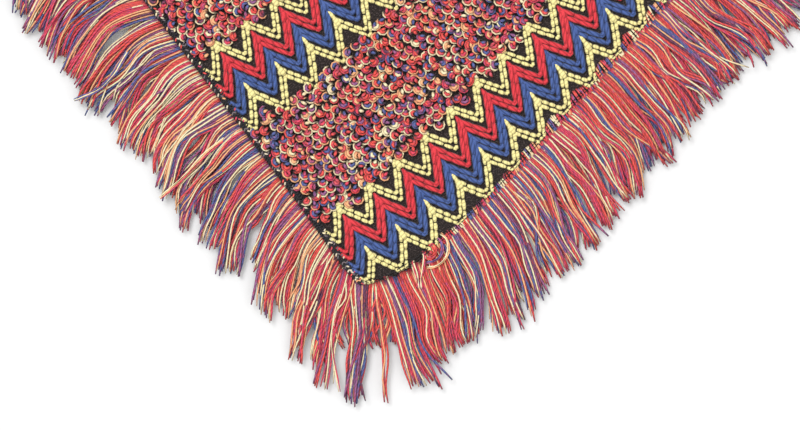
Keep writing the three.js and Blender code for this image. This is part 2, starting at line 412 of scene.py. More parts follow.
def new_group(name, inputs, outputs):
    """An empty shader node group with float sockets, and the sockets of what it is given."""
    group = bpy.data.node_groups.new(name, "ShaderNodeTree")
    for label, value in inputs:
        socket = group.interface.new_socket(label, in_out="INPUT", socket_type="NodeSocketFloat")
        socket.default_value = value
    for label in outputs:
        group.interface.new_socket(label, in_out="OUTPUT", socket_type="NodeSocketFloat")
    return group, group.nodes.new("NodeGroupInput").outputs


def put_out(group, *values):
    """Send values to the outputs of a group, in their order."""
    result = group.nodes.new("NodeGroupOutput")
    for value, socket in zip(values, result.inputs):
        group.links.new(value, socket)


def yarn_twist():
    """The plies, the loose fibres, the mixed-in dyes, and the painted shade on the flanks of a yarn."""
    group = bpy.data.node_groups.get("Yarn twist")
    if group:
        return group
    inputs = (("Turns per metre", 180.0), ("Plies", 2.0), ("Fibre scale", 900.0))
    group, given = new_group("Yarn twist", inputs, ("Rise", "Fibre", "Tint", "Crown", "Fleck"))
    round_yarn, along_yarn, _ = parts(group, mesh_place(group, "yarn"))
    turned = arithmetic(group, "MULTIPLY", along_yarn, given["Turns per metre"])
    plied = arithmetic(group, "MULTIPLY", round_yarn, given["Plies"])
    phase = arithmetic(group, "MULTIPLY", arithmetic(group, "ADD", turned, plied), 2 * math.pi)
    rise = arithmetic(group, "MULTIPLY_ADD", arithmetic(group, "SINE", phase), 0.5, 0.5)
    spot = add_node(group, "ShaderNodeTexCoord").outputs["Object"]
    fibre = noise(group, spot, given["Fibre scale"], 3.0, 0.6)
    tint = noise(group, spot, 55.0, 2.0)
    fleck_place = add_node(
        group,
        "ShaderNodeCombineXYZ",
        {
            0: arithmetic(group, "MULTIPLY", round_yarn, 1.6),
            1: arithmetic(group, "MULTIPLY", along_yarn, 210.0),
            2: arithmetic(group, "MULTIPLY", parts(group, spot)[0], 90.0),
        },
    )
    fleck = noise(group, fleck_place.outputs[0], 1.0, 2.0)
    # Painted light: full where a point faces up, falling to painted shade on the yarn's flanks
    facing_up = parts(group, add_node(group, "ShaderNodeNewGeometry").outputs["Normal"])[2]
    painted_crown_light = mapped(group, facing_up, 0.28, 0.88, 0.0, 1.0)
    put_out(group, rise, fibre, tint, painted_crown_light, fleck)
    return group


def knit_loops():
    """Knitted stitches on flat cloth: the height of each V of yarn, and fibre speckle."""
    group = bpy.data.node_groups.get("Knit loops")
    if group:
        return group
    inputs = (("Wale", 2.4 * MM), ("Course", 1.9 * MM), ("Slant", 0.9))
    group, given = new_group("Knit loops", inputs, ("Rise", "Speckle"))
    along, across, _ = parts(group, mesh_place(group, "cloth"))
    leg = arithmetic(group, "PINGPONG", arithmetic(group, "DIVIDE", along, given["Wale"]), 0.5)
    course = arithmetic(group, "DIVIDE", across, given["Course"])
    slanted = arithmetic(group, "ADD", course, arithmetic(group, "MULTIPLY", leg, given["Slant"]))
    row = arithmetic(group, "SINE", arithmetic(group, "MULTIPLY", slanted, 2 * math.pi))
    trough = arithmetic(group, "SINE", arithmetic(group, "MULTIPLY", leg, 2 * math.pi))
    bulge = arithmetic(group, "MULTIPLY", arithmetic(group, "ADD", row, 1.0), 0.5)
    rise = arithmetic(group, "MULTIPLY", bulge, arithmetic(group, "ABSOLUTE", trough))
    spot = add_node(group, "ShaderNodeTexCoord").outputs["Object"]
    put_out(group, rise, noise(group, spot, 620.0, 4.0))
    return group


def blank_material(name, roughness, sheen):
    """A matt material, its nodes, and its shader."""
    material = bpy.data.materials.new(name)
    material.use_nodes = True
    shader = material.node_tree.nodes["Principled BSDF"]
    shader.inputs["Roughness"].default_value = roughness
    shader.inputs["Sheen Weight"].default_value = sheen
    shader.inputs["Specular IOR Level"].default_value = 0.25
    return material, material.node_tree, shader


def dress(tree, shader, colour, height, strength, distance):
    """Give a shader its colour, and a bump of some strength and depth."""
    tree.links.new(colour, shader.inputs["Base Color"])
    inputs = {"Height": height, "Strength": strength, "Distance": distance}
    raised = add_node(tree, "ShaderNodeBump", inputs)
    tree.links.new(raised.outputs[0], shader.inputs["Normal"])


def yarn(name, colour, dark, flank=0.26, turns=180.0, plies=2.0, bump=0.5, fleck=None):
    """Twisted yarn, a little patchy, with fibres in the bump.

    dark is the share of its colour that it keeps in the painted shade between its plies, and flank in the
    painted shade on its sides. fleck is a second colour spun into it.
    """
    material, tree, shader = blank_material(name, 0.88, 0.15)
    values = {"Turns per metre": turns, "Plies": plies}
    twist = add_node(tree, "ShaderNodeGroup", values, node_tree=yarn_twist()).outputs
    # Painted shade: the colour darkens between the plies, by the twist's rise
    painted_groove_shade = mapped(tree, twist["Rise"], 0.0, 0.55, dark, 1.0)
    speckle = mapped(tree, twist["Fibre"], 0.34, 0.56, 0.76, 1.0)
    painted_light_and_speckle = arithmetic(tree, "MULTIPLY", arithmetic(tree, "MULTIPLY", painted_groove_shade, speckle), twist["Crown"])
    dyed = mixed(tree, twist["Tint"], colour, tuple(min(1.0, c * 1.12 + 0.02) for c in colour))
    if fleck:
        spun_in = mapped(tree, twist["Fleck"], 0.5, 0.62, 0.0, 0.36)
        dyed = mixed(tree, spun_in, dyed, fleck)
    # Painted shade: where the painted light is low, the yarn takes a darker copy of its colour
    shaded = mixed(tree, painted_light_and_speckle, tuple(c * flank for c in colour), dyed)
    height = arithmetic(tree, "MULTIPLY_ADD", twist["Fibre"], 0.5, twist["Rise"])
    dress(tree, shader, shaded, height, bump, 0.4 * MM)
    return material


def ground_knit(colour):
    """The dark knit that shows between the chain rows, with painted shade between its stitches and paler
    fibres caught in it.
    """
    material, tree, shader = blank_material("ground knit", 0.93, 0.1)
    loops = add_node(tree, "ShaderNodeGroup", node_tree=knit_loops()).outputs
    # Painted shade: the colour falls to 0.35 of it between the raised Vs of the stitches
    stitch_with_painted_shade = mixed(tree, loops["Rise"], tuple(c * 0.35 for c in colour), colour)
    caught = mapped(tree, loops["Speckle"], 0.52, 0.68, 0.0, 0.8)
    flecked = mixed(tree, caught, stitch_with_painted_shade, tuple(c * 2.6 + 0.012 for c in colour))
    dress(tree, shader, flecked, loops["Rise"], 0.7, 0.6 * MM)
    return material


def patterned_knit(knit, fringe):
    """The side that faces the floor: the same zigzag and puff bands, knitted flat, with painted shade between
    the stitches.
    """
    material, tree, shader = blank_material("patterned knit", 0.93, 0.1)
    place = mesh_place(tree, "cloth")
    along, across, _ = parts(tree, place)
    phase = arithmetic(tree, "DIVIDE", arithmetic(tree, "SUBTRACT", along, ZIG_START), ZIG_PERIOD)
    rise = arithmetic(tree, "MULTIPLY", arithmetic(tree, "PINGPONG", phase, 0.5), 2 * ZIG_RISE)
    level = arithmetic(tree, "DIVIDE", arithmetic(tree, "SUBTRACT", across, rise), REPEAT)
    share = arithmetic(tree, "FRACT", level)
    stripes = (
        (0.0, knit.yellow),
        (0.05, knit.ground),
        (0.0725, knit.blue),
        (0.1525, knit.ground),
        (0.175, knit.red),
        (0.255, knit.ground),
        (0.28, knit.yellow),
        (0.36, knit.ground),
        (0.97, knit.yellow),
    )
    stitches = (
        (0.0, fringe.coral),
        (0.35, fringe.slate),
        (0.55, fringe.cream),
        (0.75, fringe.rose),
        (0.88, fringe.violet),
    )
    cells = add_node(tree, "ShaderNodeTexVoronoi", {"Vector": place, "Scale": 150.0})
    puffs = stepped(tree, parts(tree, cells.outputs["Color"])[0], stitches)
    above = arithmetic(tree, "GREATER_THAN", share, 0.43)
    below = arithmetic(tree, "LESS_THAN", share, 0.9)
    in_puffs = arithmetic(tree, "MULTIPLY", above, below)
    bright = mixed(tree, in_puffs, stepped(tree, share, stripes), puffs)
    loops = add_node(tree, "ShaderNodeGroup", node_tree=knit_loops()).outputs
    # Painted shade: each colour falls to 0.45 of it between the raised stitches
    shade = mapped(tree, loops["Rise"], 0.0, 0.7, 0.45, 1.0)
    shaded = mixed(tree, 1.0, bright, shade, "MULTIPLY")
    dress(tree, shader, shaded, loops["Rise"], 0.6, 0.5 * MM)
    return material


# The mixed yarn of the fringe and the puffs: its colours, and the colour spun into each of them
MELANGE = ("coral", "rose", "apricot", "cream", "violet", "slate", "plum")
SPUN_IN = ("violet", "slate", "coral", "apricot", "coral", "rose", "coral")
PALE = ("apricot", "cream")
# How much of its colour a yarn keeps in the painted shade between its plies and on its flanks
PALE_SHADES = (0.8, 0.42)
DEEP_SHADES = (0.54, 0.2)


def melange_yarns():
    """One finish for each colour of the mixed yarn, in MELANGE's order."""
    dyes = bpy.context.scene.poncho_fringe
    made = []
    for label, other in zip(MELANGE, SPUN_IN):
        name = f"{label} yarn"
        shades = PALE_SHADES if label in PALE else DEEP_SHADES
        colour, fleck = tuple(getattr(dyes, label)), tuple(getattr(dyes, other))
        made.append(bpy.data.materials.get(name) or yarn(name, colour, *shades, fleck=fleck))
    return made


# The cloth's mesh is finer near the front point: its step there, and how far that reaches, in millimetres
FINE_STEP = 6
FINE_REACH = 120


def folded_shell(name, under_leaf, face_back, finishes):
    """One panel as a closed sheet: along its leaf, round the shoulder fold, and back along its flap."""
    near = np.arange(0, FINE_REACH, FINE_STEP) * MM
    leaf = np.concatenate((near, np.linspace(FINE_REACH * MM, SIDE_LENGTH, 44)))
    across = np.concatenate((near, np.linspace(FINE_REACH * MM, PANEL_WIDTH - SEAM_GAP / 2, 33)))
    turn = np.linspace(0, np.pi, 9)[1:-1]
    flap = np.linspace(SIDE_LENGTH, PANEL_WIDTH + SEAM_GAP / 2, 16)
    side = np.concatenate((np.ones(len(leaf)), np.cos(turn), -np.ones(len(flap))))
    if under_leaf:
        side = -side
    past_fold = SIDE_LENGTH + FOLD_RADIUS * np.pi
    worn = np.concatenate((leaf, SIDE_LENGTH + FOLD_RADIUS * turn, past_fold + SIDE_LENGTH - flap))

    points = []
    for radius in (FOLD_RADIUS, SEAM_GAP / 2):
        along = np.concatenate((leaf, SIDE_LENGTH + radius * np.sin(turn), flap))
        height = FOLD_RADIUS + radius * side
        x, y = face_back(*np.meshgrid(along, across, indexing="ij"))
        points.append(np.stack((x, y, np.broadcast_to(height[:, None], x.shape)), axis=-1))
    rows, columns = points[0].shape[:2]
    number = np.arange(rows * columns).reshape(rows, columns)
    under = rows * columns

    corners = (number[:-1, :-1], number[1:, :-1], number[1:, 1:], number[:-1, 1:])
    outer = np.stack(corners, -1).reshape(-1, 4)
    inner = outer[:, ::-1] + under
    rim = np.concatenate((number[:, 0], number[-1, 1:], number[-2::-1, -1], number[0, -2:0:-1]))
    beyond = np.roll(rim, -1)
    edge = np.stack((rim, rim + under, beyond + under, beyond), -1)
    faces = np.concatenate((outer, inner, edge))
    mesh = bpy.data.meshes.new(name)
    mesh.from_pydata(np.concatenate([p.reshape(-1, 3) for p in points]).tolist(), [], faces.tolist())
    shell = bmesh.new()
    shell.from_mesh(mesh)
    bmesh.ops.recalc_face_normals(shell, faces=shell.faces)
    shell.to_mesh(mesh)
    shell.free()

    uv = np.stack(np.meshgrid(worn, across, indexing="ij"), axis=-1).reshape(-1, 2)
    layer = mesh.uv_layers.new(name="cloth")
    used = np.empty(len(mesh.loops), np.int32)
    mesh.loops.foreach_get("vertex_index", used)
    layer.data.foreach_set("uv", uv[used % under].ravel())
    middles = np.empty(len(mesh.polygons) * 3)
    mesh.polygons.foreach_get("center", middles)
    facing_down = middles.reshape(-1, 3)[:, 2] < FOLD_RADIUS
    stretch = np.arange(len(outer)) // (columns - 1)
    on_fold = (stretch >= len(leaf) - 1) & (stretch < len(leaf) + len(turn))
    flat_patterned = facing_down | np.concatenate((on_fold, on_fold, np.zeros(len(edge), bool)))
    mesh.polygons.foreach_set("material_index", flat_patterned.astype(np.int32))
    return add_piece(name, mesh, finishes)


class PONCHO_OT_cloth(bpy.types.Operator):
    """Make the two knitted panels, each folded over a shoulder"""

    bl_idname = "poncho.cloth"
    bl_label = "Panels"

    def execute(self, context):
        knit = context.scene.poncho_knit
        finishes = [
            ground_knit(tuple(knit.ground)),
            patterned_knit(knit, context.scene.poncho_fringe),
        ]
        front = folded_shell("cloth_front", False, lie, finishes)
        back = folded_shell("cloth_back", True, lambda along, across: lie(across, along), finishes)
        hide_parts("panel_front")
        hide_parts("panel_back")
        return {"FINISHED"}


LINK_STATIONS = 4
# Where the face ends inside a link, the rest of it stays if it is at least this long
SHORTEST_LINK = 1.5 * MM
# However long a link is, it is cut this much at each end at most
MOST_LINK_GAP = 0.2 * MM
# How often a zigzag's leg has the larger of its two numbers of links
LARGER_NUMBER = 0.4
LINK_PROFILE = np.array((0.68, 1.0, 1.0, 0.68))
SMOOTH_PROFILE = np.array((0.84, 1.0, 1.0, 0.84))
# Each colour's finish, the gap to the next link and the unevenness as shares of a link, and its shape;
# the red and blue links are smooth and overlap
CHAIN_KINDS = {
    "yellow": (0, 0.035, 0.08, LINK_PROFILE),
    "red": (1, -0.02, 0.05, SMOOTH_PROFILE),
    "blue": (2, -0.02, 0.05, SMOOTH_PROFILE),
}
# How much of the face's first edge the chains leave to the braid
CHAIN_CLEAR = {"front": 4 * MM, "shoulder": 0.0}
# How far the links stray sideways and in height
CHAIN_STRAY = 0.25 * MM
CHAIN_STRAY_UP = 0.15 * MM
# Half the width of the link that turns round a zigzag's foot
FOOT_REACH = 2.4 * MM
FOOT_ROUND = 1.2 * MM
# Links over each tip: the spur, the knot and the cap of the yellow lines, and the points of the others
SPUR_PROFILE = np.array((0.9, 1.0, 0.72, 0.3))
TIP_LINKS = (
    ("yellow", 33.5 * MM, 45 * MM, 2.4 * MM, LINK_PROFILE),
    ("yellow", 26 * MM, 36 * MM, 3.6 * MM, LINK_PROFILE),
    ("yellow", 83 * MM, 92.5 * MM, 3.8 * MM, LINK_PROFILE),
    ("blue", 46 * MM, 61.5 * MM, 3.9 * MM, SPUR_PROFILE),
    ("red", 67 * MM, 82 * MM, 4.1 * MM, SPUR_PROFILE),
)
# How high these links are over the cloth, and how flat
TIP_HEIGHT = {"yellow": 1.5 * MM, "red": 0.8 * MM, "blue": 0.8 * MM}
TIP_FLATNESS = 0.62


def chain_links(start, end, foot, low_limit, high_limit, links_each, gap_share, rng):
    """Where each link of a zigzag row runs, as (along, across) pairs for its stations."""
    along = []
    across = []
    slope = ZIG_RISE / (ZIG_PERIOD / 2)
    first = math.floor((start - ZIG_START) / ZIG_PERIOD)
    last = math.ceil((end - ZIG_START) / ZIG_PERIOD)
    for turn in range(first, last + 1):
        foot_at = ZIG_START + turn * ZIG_PERIOD
        spans = [(-FOOT_REACH, FOOT_REACH)]
        for side in (-1, 1):
            links = links_each[int(rng.uniform() < LARGER_NUMBER)]
            stops = np.linspace(FOOT_REACH, ZIG_PERIOD / 2, links + 1)
            spans += [(side * a, side * b) for a, b in zip(stops, stops[1:])]
        for a, b in spans:
            a, b = np.clip((a, b), start - foot_at, end - foot_at)
            if abs(b - a) < SHORTEST_LINK:
                continue
            gap = min(gap_share * abs(b - a), MOST_LINK_GAP) * np.sign(b - a)
            away = np.linspace(a + gap, b - gap, LINK_STATIONS)
            height = foot + slope * np.sqrt(away**2 + FOOT_ROUND**2)
            along.append(foot_at + away)
            across.append(np.clip(height, low_limit, high_limit))
    return np.array(along), np.array(across)


class PONCHO_OT_zigzags(bpy.types.Operator):
    """Make the chained zigzag rows on the faces that look up"""

    bl_idname = "poncho.zigzags"
    bl_label = "Zigzag chains"

    def execute(self, context):
        knit = context.scene.poncho_knit
        rng = np.random.default_rng(11)
        # The third number of each chain is how much of its colour it keeps in the painted shade between its
        # plies
        finishes = [
            yarn("yellow chain", tuple(knit.yellow), 0.55, turns=260.0, plies=1.0),
            yarn("red chain", tuple(knit.red), 0.42, turns=95.0, plies=4.0, bump=0.8),
            yarn("blue chain", tuple(knit.blue), 0.36, turns=95.0, plies=4.0, bump=0.8),
        ]
        for label, face, start, end in TOP_FACES:
            strands = Strands()
            for repeat in range(REPEATS):
                self.rows(strands, knit, face, start + CHAIN_CLEAR[label], end, repeat, rng)
                self.tips(strands, face, start, end, repeat * REPEAT)
            made = strands.build(f"zigzag_{label}", finishes)
        return {"FINISHED"}

    def rows(self, strands, knit, face, start, end, repeat, rng):
        """The eight chained rows of one repeat of the pattern."""
        base = repeat * REPEAT
        width = knit.chain_width / 2
        flatness = knit.chain_height / knit.chain_width
        for number, (colour, foot, breadth, links_each) in enumerate(CHAIN_ROWS):
            finish, gap_share, uneven, profile = CHAIN_KINDS[colour]
            low = HEM_LIMITS[number] if repeat == 0 and number < 2 else -1
            high = base + TOP_LIMITS[number - 6] if number > 5 else base + REPEAT
            links = (low, high, links_each, gap_share)
            along, across = chain_links(start, end, base + foot, *links, rng)
            each = (len(along), 1)
            stray = rng.normal(0, CHAIN_STRAY, each)
            height = LEAF_TOP + knit.chain_height * 0.42 + rng.normal(0, CHAIN_STRAY_UP, each)
            line = on_face(face, along, across + stray, height)
            radii = profile * width * breadth * rng.uniform(1 - uneven, 1 + uneven, each)
            strands.add(line, radii, 6, finish, flatness)

    def tips(self, strands, face, start, end, base):
        """The links that stand over each tip of one repeat's rows."""
        tips = ZIG_START + ZIG_PERIOD * (np.arange(-1, 24) + 0.5)
        tips = tips[(tips > start + 3 * MM) & (tips < end - 3 * MM)][:, None]
        for colour, foot, tip, thick, profile in TIP_LINKS:
            up = base + np.linspace(foot, tip, LINK_STATIONS)
            line = on_face(face, tips + 0 * up, up + 0 * tips, LEAF_TOP + TIP_HEIGHT[colour])
            strands.add(line, profile * thick, 6, CHAIN_KINDS[colour][0], TIP_FLATNESS)


# How far a puff strays from its place in the rows
PUFF_STRAY = 1.3 * MM
# The rows' spacing as a share of that along a row, and how much of a puff stays inside its band's edge
PUFF_ROWS_CLOSER = 0.9
PUFF_INSIDE = 0.45
# The way the puffs open, in degrees, and how much that varies
PUFF_FACING = (238, 48)
# Least and most of a puff's size, and of its width and its height, as shares
PUFF_SIZES = (0.9, 1.08)
PUFF_STRETCH = (0.82, 1.12)
# Shares of MELANGE's colours in a puff's outer loop, its inner loop and its core
OUTER_SHARES = (0.15, 0.11, 0.26, 0.38, 0.04, 0.05, 0.01)
INNER_SHARES = (0.48, 0.16, 0.07, 0.05, 0.07, 0.15, 0.02)
CORE_SHARES = (0.36, 0.14, 0.07, 0.06, 0.10, 0.23, 0.04)


class PONCHO_OT_puffs(bpy.types.Operator):
    """Make the looped puffs between the zigzag bands"""

    bl_idname = "poncho.puffs"
    bl_label = "Puffs"

    def execute(self, context):
        knit = context.scene.poncho_knit
        finishes = melange_yarns()
        for label, face, start, end in TOP_FACES:
            for repeat in range(REPEATS):
                rng = np.random.default_rng(40 + 10 * repeat + len(label))
                x, y = face(*self.places(label, start, end, repeat * REPEAT, knit, rng))
                strands = self.loops(x, y, knit, rng)
                made = strands.build(f"puffs_{label}_{repeat + 1}", finishes)
        return {"FINISHED"}

    def places(self, label, start, end, base, knit, rng):
        """Where the puffs of one band are on their face, as along and across."""
        spacing = knit.puff_spacing
        reach = knit.puff_size / 2
        columns = np.arange(start + PUFFS_START[label], end - 3 * MM, spacing)
        rows = np.arange(base + PUFFS_FROM[0], base + PUFFS_TO[1], spacing * PUFF_ROWS_CLOSER)
        along, across = np.meshgrid(columns, rows)
        along = along + (np.arange(len(rows)) % 2)[:, None] * spacing / 2
        along = along + rng.uniform(-1, 1, along.shape) * PUFF_STRAY
        across = across + rng.uniform(-1, 1, along.shape) * PUFF_STRAY
        inside = reach * PUFF_INSIDE
        low = base + PUFFS_FROM[0] + (PUFFS_FROM[1] - PUFFS_FROM[0]) * tooth(along) + inside
        high = base + PUFFS_TO[0] + (PUFFS_TO[1] - PUFFS_TO[0]) * tooth(along) - inside
        high = np.minimum(high, PANEL_WIDTH - reach - 2 * MM)
        in_band = (across > low) & (across < high)
        kept = in_band & (along > start + PUFF_CLEAR[label]) & (along < end - 5 * MM)
        return along[kept], across[kept]

    def loops(self, x, y, knit, rng):
        """Each puff as an open outer loop, an inner loop that stands higher, and a core."""
        count = len(x)
        size = rng.uniform(*PUFF_SIZES, (count, 1)) * (knit.puff_size / 2)
        facing = np.radians(rng.normal(*PUFF_FACING, (count, 1)))
        wide = rng.uniform(*PUFF_STRETCH, (count, 1))
        tall = rng.uniform(*PUFF_STRETCH, (count, 1))
        strands = Strands()

        def arc(radius, spread, stations, low_z, high_z, thick, shares):
            swing = np.linspace(-1, 1, stations)
            angle = facing + np.radians(spread) * swing
            lift = low_z + (high_z - low_z) * np.cos(swing * np.pi / 2) ** 0.6
            out = size * radius
            line_x = x[:, None] + out * wide * np.cos(angle)
            line_y = y[:, None] + out * tall * np.sin(angle)
            line = np.stack((line_x, line_y, LEAF_TOP + lift + 0 * angle), axis=-1)
            taper = 0.65 + 0.35 * np.cos(swing * np.pi / 2)
            first, then = rng.choice(len(MELANGE), (2, count, 1), p=shares)
            change = rng.integers(1, 2 * stations, (count, 1))
            colours = np.where(np.arange(stations - 1) < change, first, then)
            strands.add(line, thick * taper, 3, colours, 1.0, np.pi / 6)

        rim = knit.puff_yarn * 0.56
        arc(0.84, 118, 7, 0.4 * MM, 3.2 * MM, rim, OUTER_SHARES)
        arc(0.50, 105, 5, 1.2 * MM, 4.4 * MM, rim * 1.35, INNER_SHARES)
        heading = rng.uniform(0, 2 * np.pi, (count, 1))
        along_core = np.linspace(-0.5, 0.5, 3) * size
        shift = size * rng.uniform(0.0, 0.3, (count, 1))
        core_x = x[:, None] - shift * np.cos(facing) + along_core * np.cos(heading)
        core_y = y[:, None] - shift * np.sin(facing) + along_core * np.sin(heading)
        core_z = LEAF_TOP + np.array((1.8, 2.9, 1.8)) * MM + 0 * along_core
        core = np.stack((core_x, core_y, core_z), axis=-1)
        hues = rng.choice(len(MELANGE), count, p=CORE_SHARES)
        strands.add(core, np.array((0.7, 1.1, 0.7)) * rim * 1.4, 5, hues)
        return strands


# Overlock over the cut end: each run of thread's distance in from the edge and its lean, in millimetres,
# the distance between its stitches, and the shares of the three threads and of four mixed yarns in it
BRAID_RUNS = ((0.4, 1.6), (2.9, -1.6), (5.0, 1.2))
BRAID_STEP = 2.9 * MM
BRAID_SHARES = (0.62, 0.19, 0.10, 0.04, 0.02, 0.02, 0.01)
# Right hem: how far the fringe's roots reach in, near the point and then between the zigzag's feet, the
# shares of MELANGE's colours in them, how many take their neighbour's colour, and where the stitches run
HEM_ROOT_SHORT = 4.4 * MM
HEM_ROOT_REACH = 12 * MM
HEM_ROOT_SHARES = (0.34, 0.18, 0.15, 0.16, 0.08, 0.08, 0.01)
HEM_ROOT_SAME = 0.45
HEM_STITCH_ROWS = (1.6 * MM, 4.6 * MM)


def overlocked_end(thread, rng):
    """The braided edge over the cut end, on a rounded core."""
    braid = Strands()
    up_hem = np.arange(0, PANEL_WIDTH - 2 * MM, 3 * MM)
    core = on_face(lie, 2.0 * MM + 0 * up_hem, up_hem, LEAF_TOP - 0.2 * MM)[None]
    braid.add(core, 3.4 * MM, 8, 0, 0.55)
    for inset, lean in BRAID_RUNS:
        at = np.arange(1 * MM, PANEL_WIDTH - 4 * MM, BRAID_STEP)[:, None]
        at = at + rng.normal(0, 0.2 * MM, at.shape)
        out = np.linspace(-1.6, 1.6, 4) * MM
        up = at + np.linspace(-1, 1, 4) * lean * MM
        lift = np.array((1.2, 2.2, 2.2, 1.2)) * MM
        line = on_face(lie, inset * MM + out + 0 * at, up, LEAF_TOP + lift)
        hues = rng.choice(len(BRAID_SHARES), len(at), p=BRAID_SHARES)
        braid.add(line, np.array((0.7, 1.05, 1.05, 0.7)) * MM, 5, hues)
    made = braid.build("overlock_left_end", thread)


def hem_roots(thread, rng):
    """The inner ends of the fringe's yarns, that run in over the right hem."""
    roots = Strands()
    at = np.arange(72 * MM, SIDE_LENGTH - 3 * MM, 2.1 * MM)[:, None]
    at = at + rng.normal(0, 0.35 * MM, at.shape)
    grown = np.clip((at - 165 * MM) / (95 * MM), 0, 1)
    between_feet = HEM_ROOT_REACH * (0.3 + 0.7 * tooth(at))
    reach = HEM_ROOT_SHORT * (1 - grown) + between_feet * grown + rng.uniform(-1.2, 1.2, at.shape) * MM
    share = np.linspace(0, 1, 5)
    inward = reach * (1 - share) - 4.2 * MM * share
    lean = share * rng.normal(0, 1.4 * MM, at.shape)
    lift = np.array((0.1, 1.2, 1.4, 0.9, -1.6)) * MM
    line = on_face(lie, at + lean, inward, LEAF_TOP + lift)
    hues = len(thread) - len(MELANGE) + rng.choice(len(MELANGE), len(at), p=HEM_ROOT_SHARES)
    repeated = np.flatnonzero(rng.uniform(0, 1, len(at)) < HEM_ROOT_SAME)
    hues[repeated] = hues[repeated - 1]
    roots.add(line, 1.15 * MM, 4, hues, 0.9, np.pi / 4)
    made = roots.build("fringe_roots_right", thread)


def hem_stitches(thread, rng):
    """The two lines of black running stitches along the right hem."""
    stitches = Strands()
    for across_at in HEM_STITCH_ROWS:
        at = np.arange(4 * MM, SIDE_LENGTH - 4 * MM, 4.4 * MM)[:, None]
        step = np.linspace(-1.9, 1.9, 4) * MM
        wander = across_at + rng.normal(0, 0.15 * MM, at.shape)
        lift = np.array((1.4, 2.9, 2.9, 1.4)) * MM
        line = on_face(lie, at + step, wander + 0 * step, LEAF_TOP + lift)
        stitches.add(line, np.array((0.35, 0.45, 0.45, 0.35)) * MM, 5, 0)
    made = stitches.build("hem_stitches_right", thread)


def panel_seam(thread):
    """Crossed stitches that join the two panels on the front."""
    joining = Strands()
    at = np.arange(4 * MM, PANEL_WIDTH - 4 * MM, 3.6 * MM)[:, None]
    for lean in (-1, 1):
        over = np.linspace(-3.2, 3.2, 5) * MM
        forward = np.linspace(-1.2, 1.2, 5) * lean * MM
        lift = np.array((0.1, 0.8, 1.2, 0.8, 0.1)) * MM
        line = on_face(lie, at + forward, PANEL_WIDTH + over + 0 * at, LEAF_TOP + lift)
        joining.add(line, np.array((0.5, 0.8, 0.8, 0.8, 0.5)) * MM, 5, 0)
    made = joining.build("front_seam", thread)


def neck_edge(thread):
    """A plain round edge along the neck opening, on the front and on the back."""
    binding = Strands()
    for middle in (WALL / 2, LEAF_TOP - WALL / 2):
        run = np.arange(PANEL_WIDTH + 4 * MM, SIDE_LENGTH + 2 * MM, 4 * MM)
        inset = PANEL_WIDTH - 1 * MM + 0 * run
        for line in (on_face(lie, run, inset, middle), on_face(lie, inset, run, middle)):
            binding.add(line[None], 1.5 * MM, 8, 0)
    made = binding.build("neck_binding", thread)


class PONCHO_OT_edges(bpy.types.Operator):
    """Make the overlocked end, the hem stitches, the seam and the neck binding"""

    bl_idname = "poncho.edges"
    bl_label = "Edges and seam"

    def execute(self, context):
        rng = np.random.default_rng(5)
        # The last number of each thread is how much of its colour it keeps in the painted shade between its
        # plies
        threads = (
            ("overlock thread", dye(38, 35, 40), 0.4),
            ("overlock fleck", dye(120, 108, 112), 0.6),
            ("pale fleck", dye(236, 220, 190), 0.7),
        )
        thread = [yarn(name, colour, dark, turns=420.0, bump=0.6) for name, colour, dark in threads]
        thread += melange_yarns()
        overlocked_end(thread, rng)
        hem_roots(thread, rng)
        hem_stitches(thread, rng)
        panel_seam(thread)
        neck_edge(thread)
        return {"FINISHED"}


# How many points a fringe yarn's centre line has
YARN_STATIONS = 14
PALE_YARNS = tuple(MELANGE.index(label) for label in PALE)
# How often a pale yarn is cream, and a yarn between the pale ones takes its neighbour's colour
CREAM_SHARE = 0.58
SAME_COLOUR = 0.55
# The yarns between the pale ones, their shares, and how much more of each a blue stretch has
DEEP_YARNS = tuple(MELANGE.index(label) for label in ("coral", "rose", "violet", "slate", "plum"))
DEEP_SHARES = np.array((0.47, 0.22, 0.11, 0.15, 0.05))
DEEP_BLUENESS = np.array((-0.3, -0.2, 0.8, 1.0, 0.5))
# What each colour of MELANGE may turn into along a yarn, and how many yarns change
LATER_COLOURS = ("rose", "coral", "cream", "apricot", "slate", "violet", "rose")
TURNS_INTO = np.array([MELANGE.index(label) for label in LATER_COLOURS])
CHANGING = 0.45
# A pale yarn comes every this many yarns: at least, and fewer than
PALE_GAP_LEFT = (1, 7)
PALE_GAP_RIGHT = (3, 9)
# How blue the fringe is, by distance from the front point in millimetres
BLUE_LEFT = ((0, -0.5), (60, 0.0), (100, 0.6), (150, 1.0), (240, 1.1), (300, 0.9), (450, 0.6), (750, 0.3))
BLUE_RIGHT = ((0, -0.1), (60, 0.1), (150, 0.5), (220, 0.3), (320, 0.8), (420, 0.9), (750, 0.5))
# Locks at the front point, laid one by one: root and tip over the floor in millimetres, width at the root
# and at the tip, and how many yarns
POINT_LOCKS = (
    ((-52, -411), (-84, -516), 15, 15, 15),
    ((-31, -430), (-56, -546), 14, 11, 14),
    ((-22, -441), (-20, -558), 19, 14, 19),
    ((-8, -441), (-18, -556), 9, 5, 7),
    ((-3, -441), (12, -559), 5, 2, 4),
    ((3, -440), (44, -541), 14, 12, 14),
    ((14, -436), (56, -538), 18, 14, 17),
    ((28, -430), (66, -517), 16, 15, 15),
    ((41, -421), (72, -508), 20, 22, 20),
    ((54, -411), (86, -500), 16, 15, 15),
)
# Shorter locks behind them, that close the fan near the hem
POINT_FILL = (
    ((-29, -432), (-38, -503), 18, 16, 14),
    ((-12, -440), (-8, -502), 24, 20, 20),
    ((8, -438), (18, -500), 24, 24, 20),
    ((30, -427), (50, -498), 24, 26, 20),
    ((53, -410), (84, -484), 26, 28, 20),
)
